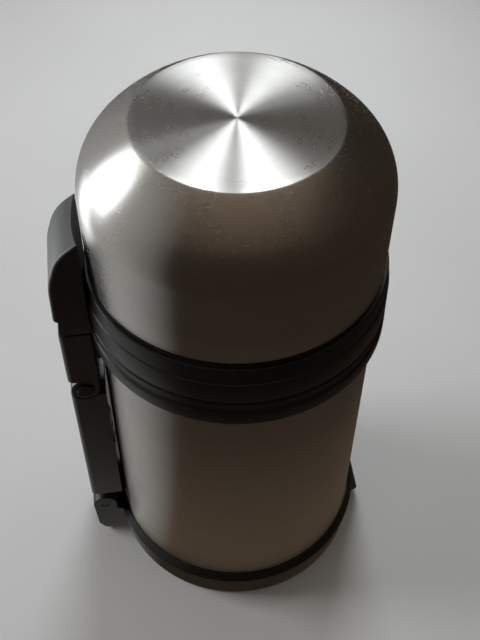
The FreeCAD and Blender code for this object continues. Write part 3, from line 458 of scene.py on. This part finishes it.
PAD_RUBBER = rubber_finish("pad_rubber", (0.018, 0.018, 0.018, 1.0), 0.78)
SILICONE = rubber_finish("silicone", (0.42, 0.43, 0.43, 1.0), 0.55)
FOAM = rubber_finish("foam", (0.62, 0.60, 0.52, 1.0), 0.92)
GETTER = rubber_finish("getter_metal", (0.16, 0.16, 0.17, 1.0), 0.6)


# Modelling helpers

def clear_selection():
    """Object mode, with nothing selected."""
    if bpy.context.object and bpy.context.object.mode != "OBJECT":
        bpy.ops.object.mode_set(mode="OBJECT")
    bpy.ops.object.select_all(action="DESELECT")


def arc(start, end, bend, steps):
    """Places on the arc from start to end, bulging away from the axis, without its ends."""
    first, last = Vector(start), Vector(end)
    chord = last - first
    inward = Vector((-chord.y, chord.x)).normalized()
    if inward.x > 0:
        inward = -inward
    centre = (first + last) / 2 + inward * math.sqrt(bend * bend - chord.length_squared / 4)
    low = math.atan2(first.y - centre.y, first.x - centre.x)
    high = math.atan2(last.y - centre.y, last.x - centre.x)
    places = []
    for step in range(1, steps):
        angle = low + (high - low) * step / steps
        places.append((centre.x + bend * math.cos(angle), centre.y + bend * math.sin(angle)))
    return places


def rounded(corners):
    """Ring places: a corner (radius, height, bend) becomes an arc of that bend."""
    places = []
    for number, corner in enumerate(corners):
        if len(corner) == 2:
            places.append(corner)
            continue
        here = Vector(corner[:2])
        back = (Vector(corners[number - 1][:2]) - here).normalized()
        ahead = (Vector(corners[(number + 1) % len(corners)][:2]) - here).normalized()
        half = back.angle(ahead) / 2
        centre = here + (back + ahead).normalized() * (corner[2] / math.sin(half))
        start = here + back * (corner[2] / math.tan(half)) - centre
        end = here + ahead * (corner[2] / math.tan(half)) - centre
        angle = math.atan2(start.y, start.x)
        turn = math.atan2(end.y, end.x) - angle
        turn = (turn + math.pi) % (2 * math.pi) - math.pi
        for step in range(ARC_STEPS + 1):
            way = angle + turn * step / ARC_STEPS
            places.append((centre.x + corner[2] * math.cos(way), centre.y + corner[2] * math.sin(way)))
    return places


AXIS = 0.001
RING_MERGE = 0.005
COPY_MERGE = 0.003


def turned_piece(name, outline, body, node, material):
    """A piece turned about the jar's axis: a circle is drawn out ring by ring along the outline."""
    clear_selection()
    radius, height = outline[0]
    bpy.ops.mesh.primitive_circle_add(vertices=SEGMENTS, radius=radius * MM, location=(0, 0, height * MM))
    piece = bpy.context.object
    piece.name = name
    bpy.ops.object.transform_apply(location=True, rotation=True, scale=True)
    bpy.ops.object.mode_set(mode="EDIT")
    bpy.ops.mesh.select_all(action="SELECT")
    for next_radius, next_height in outline[1:]:
        rise = (0, 0, (next_height - height) * MM)
        bpy.ops.mesh.extrude_region_move(TRANSFORM_OT_translate={"value": rise})
        spread = next_radius / radius
        bpy.ops.transform.resize(value=(spread, spread, 1), center_override=(0, 0, 0))
        radius, height = next_radius, next_height
    bpy.ops.mesh.select_all(action="SELECT")
    bpy.ops.mesh.remove_doubles(threshold=RING_MERGE * MM)
    bpy.ops.mesh.delete_loose(use_verts=True, use_edges=True, use_faces=False)
    bpy.ops.mesh.select_all(action="SELECT")
    bpy.ops.mesh.normals_make_consistent(inside=False)
    bpy.ops.object.mode_set(mode="OBJECT")
    return finish_piece(piece, body, node, material)


def finish_piece(piece, body, node, material):
    """Smooth shading, material, the body it rides on and the node it stands for."""
    clear_selection()
    piece.select_set(True)
    bpy.context.view_layer.objects.active = piece
    bpy.ops.object.shade_smooth_by_angle(angle=SMOOTH_ANGLE)
    piece.data.materials.clear()
    piece.data.materials.append(material)
    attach(piece, body)
    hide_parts(node)
    return piece


def merged_copy(name, node):
    """A copy of the node's own shape, its doubled corners merged."""
    clear_selection()
    piece = bpy.data.objects.new(name, nodes[node].data.copy())
    bpy.context.scene.collection.objects.link(piece)
    piece.select_set(True)
    bpy.context.view_layer.objects.active = piece
    bpy.ops.mesh.customdata_custom_splitnormals_clear()
    bpy.ops.object.mode_set(mode="EDIT")
    bpy.ops.mesh.select_all(action="SELECT")
    bpy.ops.mesh.remove_doubles(threshold=COPY_MERGE * MM)
    bpy.ops.object.mode_set(mode="OBJECT")
    return piece


def softened_copy(name, node, width, body, material):
    """The node's own shape with its sharp edges rounded by width, in millimetres."""
    piece = merged_copy(name, node)
    bpy.ops.object.mode_set(mode="EDIT")
    bpy.ops.mesh.select_all(action="SELECT")
    bpy.ops.mesh.dissolve_limited(angle_limit=math.radians(0.6))
    bpy.ops.object.mode_set(mode="OBJECT")
    bevel = piece.modifiers.new("soft_edges", "BEVEL")
    bevel.limit_method = "ANGLE"
    bevel.angle_limit = math.radians(34)
    bevel.width = width * MM
    bevel.segments = 3
    bevel.use_clamp_overlap = False
    bevel.miter_outer = "MITER_ARC"
    bpy.ops.object.modifier_apply(modifier=bevel.name)
    weighted = piece.modifiers.new("even_shading", "WEIGHTED_NORMAL")
    weighted.keep_sharp = True
    finished = finish_piece(piece, body, node, material)
    bpy.ops.object.modifier_apply(modifier=weighted.name)
    return finished


# Cup

DOME_START = (CUP_RADIUS, 191.4)
DOME_BREAK = (45.0, 205.9)
DOME_EDGE = (DISC_RADIUS, CUP_TOP)
LOWER_BEND = 21.57
CROWN_BEND = 59.6
CUP_WALL = 0.6
DOME_STEPS = 16
DISC_BEVEL = 0.25
DISC_RINGS = 15
DISC_RING_WIDTH = 2.0
CROWN_END = 0.35


def make_cup():
    """Spun steel dome with a rolled lower edge and a flat lathe-turned top."""
    before_edge = (DISC_RADIUS + 0.846 * CROWN_END, CUP_TOP - 0.533 * CROWN_END)
    disc_edge = DISC_RADIUS - DISC_BEVEL
    outer = [
        (CUP_RADIUS - CUP_WALL * 0.7, CUP_EDGE + 0.02),
        (CUP_RADIUS - CUP_WALL * 0.25, CUP_EDGE + 0.03),
        (CUP_RADIUS - 0.03, CUP_EDGE + 0.2),
        (CUP_RADIUS, CUP_EDGE + 0.45),
        (CUP_RADIUS, CUP_EDGE + 9.0),
        DOME_START,
        *arc(DOME_START, DOME_BREAK, LOWER_BEND, DOME_STEPS),
        DOME_BREAK,
        *arc(DOME_BREAK, DOME_EDGE, CROWN_BEND, DOME_STEPS),
        before_edge,
        (DISC_RADIUS - 0.02, CUP_TOP - 0.05),
        (disc_edge, CUP_TOP),
        *[(disc_edge - step * DISC_RING_WIDTH, CUP_TOP) for step in range(1, DISC_RINGS + 1)],
        (0.9, CUP_TOP),
        (0.45, CUP_TOP - 0.04),
        (AXIS, CUP_TOP - 0.06),
    ]
    inner_break = (DOME_BREAK[0] - CUP_WALL * 0.74, DOME_BREAK[1] - CUP_WALL * 0.672)
    inner_edge = (DISC_RADIUS - CUP_WALL * 0.45, CUP_TOP - CUP_WALL)
    inner_start = (CUP_RADIUS - CUP_WALL, DOME_START[1])
    inner = [
        (CUP_RADIUS - CUP_WALL, CUP_EDGE + 0.2),
        inner_start,
        *arc(inner_start, inner_break, LOWER_BEND - CUP_WALL, DOME_STEPS),
        inner_break,
        *arc(inner_break, inner_edge, CROWN_BEND - CUP_WALL, DOME_STEPS),
        inner_edge,
        (AXIS, CUP_TOP - CUP_WALL),
    ]
    cup = turned_piece("cup_dome", inner[::-1] + outer, "cup", "cup_shell", DOME_STEEL)
    cup.data.materials.append(DISC_STEEL)
    for face in cup.data.polygons:
        if face.center.z > (CUP_TOP - 0.08) * MM and face.center.xy.length < DISC_RADIUS * MM:
            face.material_index = 1


RIM_BORE = 48.6
RIM_STEP = 153.5
RIM_TOP = 160.2
SPIGOT_RADIUS = 49.9
SPIGOT_BORE = 47.9
RIM_LIP_BORE = 46.9
RIM_LIP_LOW = 158.4


def make_cup_rim():
    """Moulded rim of the cup: two bands with a fine step between, and the spigot in the steel."""
    outline = rounded([
        (RIM_BORE, RIM_LOW, 0.2),
        (RIM_RADIUS, RIM_LOW, 0.5),
        (RIM_RADIUS - 0.22, RIM_STEP - 0.3, 0.2),
        (52.2, RIM_STEP),
        (52.32, RIM_STEP + 0.25, 0.1),
        (51.8, RIM_TOP, 0.45),
        (SPIGOT_RADIUS, RIM_TOP, 0.3),
        (SPIGOT_RADIUS, SPIGOT_TOP, 0.3),
        (SPIGOT_BORE, SPIGOT_TOP, 0.2),
        (SPIGOT_BORE, RIM_TOP),
        (RIM_LIP_BORE, RIM_TOP, 0.2),
        (RIM_LIP_BORE, RIM_LIP_LOW, 0.2),
        (RIM_BORE, RIM_LIP_LOW, 0.3),
    ])
    outline.append(outline[0])
    turned_piece("cup_rim_moulding", outline, "cup", "cup_rim", RIM_PLASTIC)


# Body

BODY_WALL = 0.5
SHOULDER_TOP = 140.5
NECK_RADIUS = 41.5


def make_body():
    """Brushed outer wall with its shoulder and neck."""
    outline = rounded([
        (BODY_RADIUS, SHELL_LOW, 0.15),
        (BODY_RADIUS, SHOULDER_TOP, 6.0),
        (NECK_RADIUS, SHOULDER_TOP, 2.0),
        (NECK_RADIUS, NECK_TOP),
        (NECK_RADIUS - BODY_WALL, NECK_TOP),
        (NECK_RADIUS - BODY_WALL, SHOULDER_TOP - BODY_WALL, 2.5),
        (BODY_RADIUS - BODY_WALL, SHOULDER_TOP - BODY_WALL, 5.5),
        (BODY_RADIUS - BODY_WALL, SHELL_LOW),
    ])
    outline.append(outline[0])
    turned_piece("body_wall", outline, "jar", "outer_shell", BODY_STEEL)


# Collar and its thread

COLLAR_BORE = BODY_RADIUS + 0.1
BAND_TOP = 138.0
WAIST_RADIUS = 52.5
LIP_RADIUS = 53.0
LIP_HEIGHT = 142.9
DECK_TOP = 143.5
DECK_LOW = 141.0
SLEEVE_RADIUS = 46.6
SLEEVE_BORE = 44.2
FLANGE_BORE = 41.6
FLANGE_LOW = 155.6


def make_collar():
    """Collar with a plain lower band, a sunk waist, the deck under the cup and the sleeve."""
    outline = rounded([
        (COLLAR_BORE, COLLAR_LOW, 0.15),
        (COLLAR_RADIUS, COLLAR_LOW, 0.45),
        (COLLAR_RADIUS, BAND_TOP, 0.3),
        (WAIST_RADIUS, BAND_TOP + 0.5, 0.25),
        (WAIST_RADIUS, LIP_HEIGHT - 0.5, 0.3),
        (LIP_RADIUS, LIP_HEIGHT, 0.15),
        (WAIST_RADIUS, DECK_TOP, 0.2),
        (SLEEVE_RADIUS, DECK_TOP, 0.4),
        (SLEEVE_RADIUS, SLEEVE_TOP, 0.5),
        (FLANGE_BORE, SLEEVE_TOP, 0.3),
        (FLANGE_BORE, FLANGE_LOW, 0.2),
        (SLEEVE_BORE, FLANGE_LOW, 0.3),
        (SLEEVE_BORE, DECK_LOW, 0.4),
        (COLLAR_BORE, DECK_LOW, 0.2),
    ])
    outline.append(outline[0])
    turned_piece("collar_moulding", outline, "jar", "neck_collar", COLLAR_PLASTIC)


THREAD_ROOT = 46.4
THREAD_CREST = 48.0
THREAD_WIDTH = 2.8
THREAD_START = 146.3
THREAD_PITCH = 5.0
THREAD_TURNS = 1.75
THREAD_STEPS = 180
CREST_SHARE = 0.34
CREST_EDGE = 0.15


def make_cup_thread():
    """Raised thread that winds round the sleeve and takes the cup."""
    clear_selection()
    bpy.ops.mesh.primitive_plane_add(size=1.0, location=(0, 0, 0))
    thread = bpy.context.object
    thread.name = "cup_thread"
    thread.rotation_euler = (math.pi / 2, 0, 0)
    thread.scale = ((THREAD_CREST - THREAD_ROOT) * MM, THREAD_WIDTH * MM, 1)
    thread.location = (-(THREAD_CREST + THREAD_ROOT) / 2 * MM, 0, THREAD_START * MM)
    bpy.ops.object.transform_apply(location=True, rotation=True, scale=True)
    bpy.context.tool_settings.mesh_select_mode = (True, False, False)
    for vertex in thread.data.vertices:
        vertex.select = vertex.co.x < -(THREAD_CREST - 0.1) * MM
    bpy.ops.object.mode_set(mode="EDIT")
    bpy.ops.transform.resize(value=(1, 1, CREST_SHARE), center_override=(0, 0, THREAD_START * MM))
    bpy.ops.mesh.select_all(action="SELECT")
    bpy.ops.mesh.delete(type="ONLY_FACE")
    bpy.ops.object.mode_set(mode="OBJECT")
    winding = thread.modifiers.new("winding", "SCREW")
    winding.angle = math.tau * THREAD_TURNS
    winding.screw_offset = THREAD_PITCH * THREAD_TURNS * MM
    winding.steps = THREAD_STEPS
    winding.render_steps = THREAD_STEPS
    bpy.ops.object.modifier_apply(modifier=winding.name)
    bpy.ops.object.mode_set(mode="EDIT")
    bpy.ops.mesh.select_all(action="SELECT")
    bpy.ops.mesh.fill_holes(sides=4)
    bpy.ops.mesh.select_all(action="SELECT")
    bpy.ops.mesh.normals_make_consistent(inside=False)
    bpy.ops.object.mode_set(mode="OBJECT")
    bevel = thread.modifiers.new("soft_crest", "BEVEL")
    bevel.limit_method = "ANGLE"
    bevel.angle_limit = math.radians(30)
    bevel.width = CREST_EDGE * MM
    bevel.segments = 2
    bpy.ops.object.modifier_apply(modifier=bevel.name)
    finish_piece(thread, "jar", "neck_collar", COLLAR_PLASTIC)


# Handle

SOFT_EDGE = 0.35
GRIP_EDGE_REACH = 0.5
GRIP_DRAWN_IN = 0.9


def make_grip():
    """The grip, its inner edges drawn in a little towards the wall that it lies against."""
    grip = softened_copy(
        "handle_grip_moulding", "handle_grip", SOFT_EDGE, "grip", HANDLE_PLASTIC
    )
    near_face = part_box("handle_grip")[1].x - GRIP_EDGE_REACH * MM
    near_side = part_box("handle_grip")[1].y - GRIP_EDGE_REACH * MM
    for vertex in grip.data.vertices:
        vertex.select = vertex.co.x > near_face and abs(vertex.co.y) > near_side
    bpy.context.tool_settings.mesh_select_mode = (True, False, False)
    bpy.ops.object.mode_set(mode="EDIT")
    bpy.ops.transform.translate(value=(GRIP_DRAWN_IN * MM, 0, 0))
    bpy.ops.object.mode_set(mode="OBJECT")


# Stopper


def make_vent_coil():
    """The button's spring."""
    coil = merged_copy("vent_coil", "vent_spring")
    finish_piece(coil, "stopper", "vent_spring", PIN_STEEL)
    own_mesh(coil)


make_cup()
make_cup_rim()
make_body()
make_collar()
make_cup_thread()
softened_copy("handle_arch_moulding", "handle_arch", SOFT_EDGE, "jar", HANDLE_PLASTIC)
softened_copy("handle_link_moulding", "handle_link", SOFT_EDGE, "link", HANDLE_PLASTIC)
make_grip()
softened_copy("base_moulding", "base_cup", SOFT_EDGE, "jar", BASE_PLASTIC)
make_vent_coil()


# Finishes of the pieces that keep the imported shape

KEPT_FINISHES = {
    "inner_vessel": INNER_STEEL,
    "vacuum_plate": INNER_STEEL,
    "getter_tablet": GETTER,
    "base_pad": PAD_RUBBER,
    "cup_liner": INNER_STEEL,
    "stopper_plug": STOPPER_PLASTIC,
    "stopper_cap": STOPPER_PLASTIC,
    "stopper_gasket": SILICONE,
    "stopper_foam": FOAM,
    "vent_button": BUTTON_PLASTIC,
    "vent_stem": BUTTON_PLASTIC,
    "vent_seal": SILICONE,
    "arch_screws": PIN_STEEL,
    "lower_hinge_pin": BLACKENED_STEEL,
    "middle_hinge_pin": BLACKENED_STEEL,
    "sliding_pin": PIN_STEEL,
}

for name, material in KEPT_FINISHES.items():
    nodes[name].material_slots[0].material = material


# Table, room and lamps

def stage_material(name, colour, roughness):
    """Pale matt table top with a faint mottling."""
    material = bpy.data.materials.new(name)
    material.use_nodes = True
    tree = material.node_tree
    shader = tree.nodes["Principled BSDF"]
    place = tree.nodes.new("ShaderNodeTexCoord").outputs["Object"]
    mottle = add_range(tree, add_noise(tree, place, 9.0, 3.0), 0.35, 0.65)
    darker = tuple(part * 0.97 for part in colour[:3]) + (1.0,)
    tree.links.new(mix_colours(tree, mottle, darker, colour), shader.inputs["Base Color"])
    shader.inputs["Roughness"].default_value = roughness
    shader.inputs["Specular IOR Level"].default_value = 0.3
    return material


def add_room_place(tree, vector):
    """Azimuth in degrees (0 behind the jar, 90 to its right), level distance and height."""
    turned = tree.nodes.new("ShaderNodeVectorRotate")
    turned.rotation_type = "Z_AXIS"
    turned.inputs["Angle"].default_value = -CAMERA_TURN
    tree.links.new(vector, turned.inputs["Vector"])
    split = tree.nodes.new("ShaderNodeSeparateXYZ")
    tree.links.new(turned.outputs[0], split.inputs[0])
    turn = add_math(tree, "ARCTAN2", split.outputs["X"], split.outputs["Y"])
    distance = add_level_length(tree, split.outputs["X"], split.outputs["Y"])
    return add_math(tree, "DEGREES", turn), distance, split.outputs["Z"]


def add_side(tree, azimuth, centre):
    """From 0 on the side away from an azimuth to 1 on the side towards it."""
    apart = add_math(tree, "RADIANS", add_math(tree, "SUBTRACT", azimuth, centre))
    return add_range(tree, add_math(tree, "COSINE", apart), SHADE_ENDS, LIGHT_STARTS)


def add_room_tone(tree, side, shares):
    """The room's one colour, in warm light on the shaded side and in daylight on the lit side."""
    in_shade, in_daylight = shares
    shaded = (*(part * light * in_shade for part, light in zip(ROOM_COLOUR, WARM_LIGHT)), 1.0)
    lit = (*(part * light * in_daylight for part, light in zip(ROOM_COLOUR, DAYLIGHT)), 1.0)
    return mix_colours(tree, side, shaded, lit)


def add_window_mask(tree, azimuth, rise, left, right, low, high, soft):
    """A soft-edged pane between two azimuths and two heights."""
    soft_rise = soft / 60
    edges = [
        add_range(tree, azimuth, left - soft, left + soft),
        add_range(tree, azimuth, right - soft, right + soft, 1.0, 0.0),
        add_range(tree, rise, low - soft_rise, low + soft_rise),
        add_range(tree, rise, high - soft_rise, high + soft_rise, 1.0, 0.0),
    ]
    mask = edges[0]
    for edge in edges[1:]:
        mask = add_math(tree, "MULTIPLY", mask, edge)
    return mask


DAYLIGHT = (0.94, 0.98, 1.0, 1.0)
WARM_LIGHT = (1.0, 0.75, 0.55)
ROOM_COLOUR = (0.60, 0.58, 0.55)
# Shares of light on each surface of the room: on its shaded side, and beside the windows
WALL_SHARES = (0.05, 0.70)
CEILING_SHARES = (0.30, 0.80)
TABLE_SHARES = (0.20, 0.90)
FLOOR_SHARES = (0.05, 0.70)
LEFT_AZIMUTH = -73.0
BACK_AZIMUTH = 0.0
# Cosines of the angle from a window at which its light ends and is full
SHADE_ENDS = 0.4
LIGHT_STARTS = 0.9
LEFT_WINDOW = 5.5
HIGH_WINDOWS = 11.0
WALL_TOP = 0.56
CEILING_START = 0.90
EVEN_LIGHT = (0.65, 0.595, 0.515, 1.0)
EVEN_STRENGTH = 0.32
TABLE_TOP = (0.60, 0.60, 0.605, 1.0)
TABLE_SIZE = 8.0
NEAR_TABLE = 0.055
FAR_TABLE = 0.17
CARD_DROP = 0.5


def make_table():
    """The plain pale table that the jar stands on."""
    clear_selection()
    bpy.ops.mesh.primitive_plane_add(size=TABLE_SIZE, location=(0, 0, 0))
    table = bpy.context.object
    table.name = "table"
    table.data.materials.append(stage_material("table_top", TABLE_TOP, 0.5))
    table.visible_glossy = False


def make_reflected_table():
    """What shiny parts mirror below them, as a glowing card that only reflections see: a painted
    reflection of the lit table near the jar and the dim floor beyond, with painted window glare.
    """
    clear_selection()
    bpy.ops.mesh.primitive_plane_add(size=TABLE_SIZE, location=(0, 0, -CARD_DROP * MM))
    card = bpy.context.object
    card.name = "reflected_table"
    material = bpy.data.materials.new("reflected_table")
    material.use_nodes = True
    tree = material.node_tree
    tree.nodes.remove(tree.nodes["Principled BSDF"])
    place = tree.nodes.new("ShaderNodeTexCoord").outputs["Object"]
    azimuth, distance, _ = add_room_place(tree, place)
    side = add_side(tree, azimuth, LEFT_AZIMUTH)
    near = add_room_tone(tree, side, TABLE_SHARES)
    far = add_room_tone(tree, side, FLOOR_SHARES)
    tone = mix_colours(tree, add_range(tree, distance, NEAR_TABLE, FAR_TABLE), near, far)
    glare = add_window_mask(tree, azimuth, distance, -73.0, -57.0, 0.24, 1.60, 4.0)
    lit = mix_colours(tree, glare, tone, DAYLIGHT)
    strength = add_math(tree, "MULTIPLY_ADD", glare, LEFT_WINDOW / 2 - 1, 1.0)
    glow = tree.nodes.new("ShaderNodeEmission")
    tree.links.new(lit, glow.inputs["Color"])
    tree.links.new(strength, glow.inputs["Strength"])
    tree.links.new(glow.outputs[0], tree.nodes["Material Output"].inputs["Surface"])
    card.data.materials.append(material)
    card.visible_camera = False
    card.visible_diffuse = False
    card.visible_transmission = False
    card.visible_shadow = False


def around(azimuth, elevation, distance):
    """A place round the jar: azimuth 0 is straight behind it for the camera, 90 to its right."""
    turn = math.radians(azimuth) - CAMERA_TURN
    rise = math.radians(elevation)
    level = math.cos(rise)
    return Vector((math.sin(turn) * level, math.cos(turn) * level, math.sin(rise))) * distance


LAMP_TARGET = Vector((0, 0, 0.12))


def make_lamp(name, azimuth, elevation, distance, width, height, power, spread, colour):
    """A soft window that faces the jar. Shiny parts mirror the room's windows instead of it."""
    place = around(azimuth, elevation, distance)
    bpy.ops.object.light_add(type="AREA", location=place)
    lamp = bpy.context.object
    lamp.name = name
    lamp.data.shape = "RECTANGLE"
    lamp.data.size = width
    lamp.data.size_y = height
    lamp.data.energy = power
    lamp.data.spread = math.radians(spread)
    lamp.data.color = colour
    lamp.visible_camera = False
    lamp.visible_glossy = False
    lamp.rotation_euler = (LAMP_TARGET - place).to_track_quat("-Z", "Y").to_euler()


def make_world():
    """Even daylight on matt surfaces. Shiny ones mirror a dim room with three windows."""
    world = bpy.data.worlds.new("room")
    bpy.context.scene.world = world
    world.use_nodes = True
    tree = world.node_tree
    place = tree.nodes.new("ShaderNodeTexCoord").outputs["Generated"]
    azimuth, _, rise = add_room_place(tree, place)
    walls = add_room_tone(tree, add_side(tree, azimuth, LEFT_AZIMUTH), WALL_SHARES)
    ceiling = add_room_tone(tree, add_side(tree, azimuth, BACK_AZIMUTH), CEILING_SHARES)
    room = mix_colours(tree, add_range(tree, rise, WALL_TOP, CEILING_START), walls, ceiling)
    panes = (
        (add_window_mask(tree, azimuth, rise, -85.0, -61.0, -0.10, 0.52, 3.0), LEFT_WINDOW),
        (add_window_mask(tree, azimuth, rise, -17.0, -5.0, 0.76, 0.90, 0.8), HIGH_WINDOWS),
        (add_window_mask(tree, azimuth, rise, 2.0, 16.0, 0.76, 0.90, 0.8), HIGH_WINDOWS),
    )
    strength = None
    for mask, power in panes:
        room = mix_colours(tree, mask, room, DAYLIGHT)
        strength = add_math(tree, "MULTIPLY_ADD", mask, power - 1, 1.0 if strength is None else strength)
    even = tree.nodes["Background"]
    even.inputs["Color"].default_value = EVEN_LIGHT
    even.inputs["Strength"].default_value = EVEN_STRENGTH
    mirrored = tree.nodes.new("ShaderNodeBackground")
    tree.links.new(room, mirrored.inputs["Color"])
    tree.links.new(strength, mirrored.inputs["Strength"])
    choose = tree.nodes.new("ShaderNodeMixShader")
    tree.links.new(tree.nodes.new("ShaderNodeLightPath").outputs["Is Glossy Ray"], choose.inputs["Fac"])
    tree.links.new(even.outputs[0], choose.inputs[1])
    tree.links.new(mirrored.outputs[0], choose.inputs[2])
    tree.links.new(choose.outputs[0], tree.nodes["World Output"].inputs["Surface"])


make_table()
make_reflected_table()
make_world()
make_lamp("window_left", -82.0, 34.0, 1.5, 0.6, 0.6, 11.0, 180.0, (0.97, 0.985, 1.0))
make_lamp("window_back", 2.0, 26.0, 0.85, 0.36, 0.26, 1.3, 80.0, (0.93, 0.97, 1.0))

bpy.context.scene.view_settings.view_transform = "Standard"
